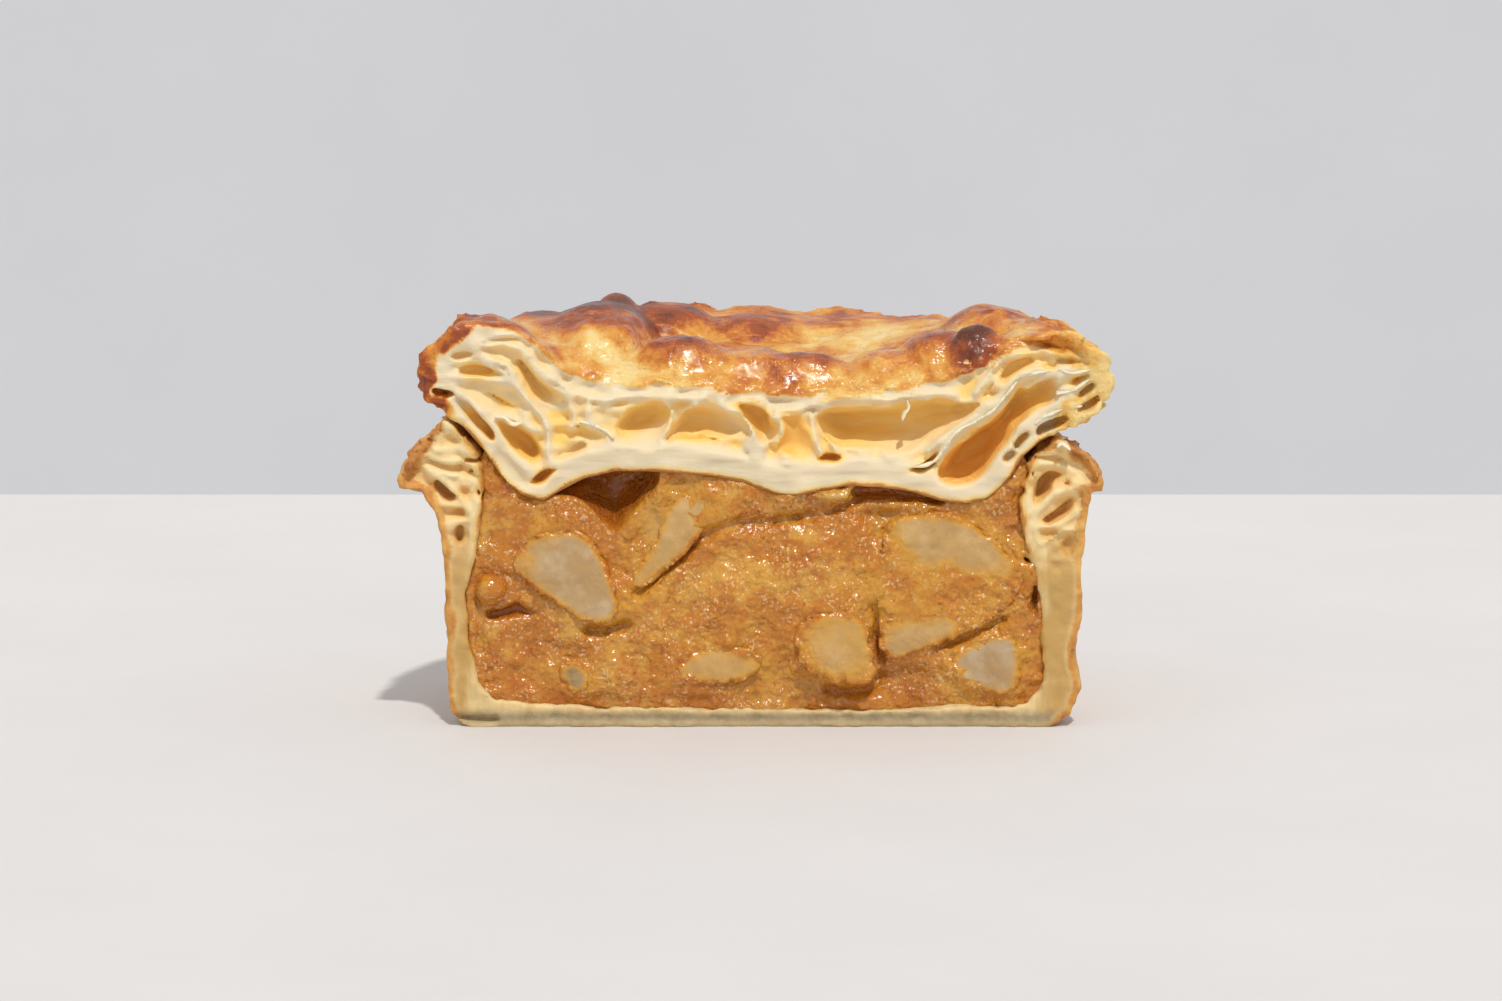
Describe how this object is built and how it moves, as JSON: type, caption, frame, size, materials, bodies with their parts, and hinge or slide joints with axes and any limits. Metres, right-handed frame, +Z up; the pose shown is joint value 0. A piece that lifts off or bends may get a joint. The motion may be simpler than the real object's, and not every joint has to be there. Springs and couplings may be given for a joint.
{
  "type": "half pastry pie",
  "caption": "Half of a round deep puff pastry pie, cut through the middle, with potato curry filling and an airy, dipped top crust.",
  "frame": {"origin": "on the floor, under the middle of the bounding box", "axes": "+X along the cut, +Y from the cut towards the round side, +Z up"},
  "size_m": [0.1116, 0.0564, 0.0642],
  "materials": {
    "pastry_case": "baked pastry, pale dough at the cut, golden brown on the rim",
    "pastry_lid": "glazed baked puff pastry, cream layers at the cut",
    "filling": "moist grainy curry sauce",
    "potato": "boiled potato, moist, coated with sauce at its edges",
    "onion": "cooked onion, translucent grey green",
    "pea": "cooked pulse coated with sauce"
  },
  "bodies": {
    "root": {"pastry_case": "pastry_case", "pastry_lid": "pastry_lid", "filling": "filling", "potato_left": "potato", "potato_upper": "potato", "potato_right": "potato", "potato_right_low": "potato", "potato_front": "potato", "potato_low": "potato", "potato_back": "potato", "onion": "onion", "pea": "pea"}
  },
  "joints": []
}
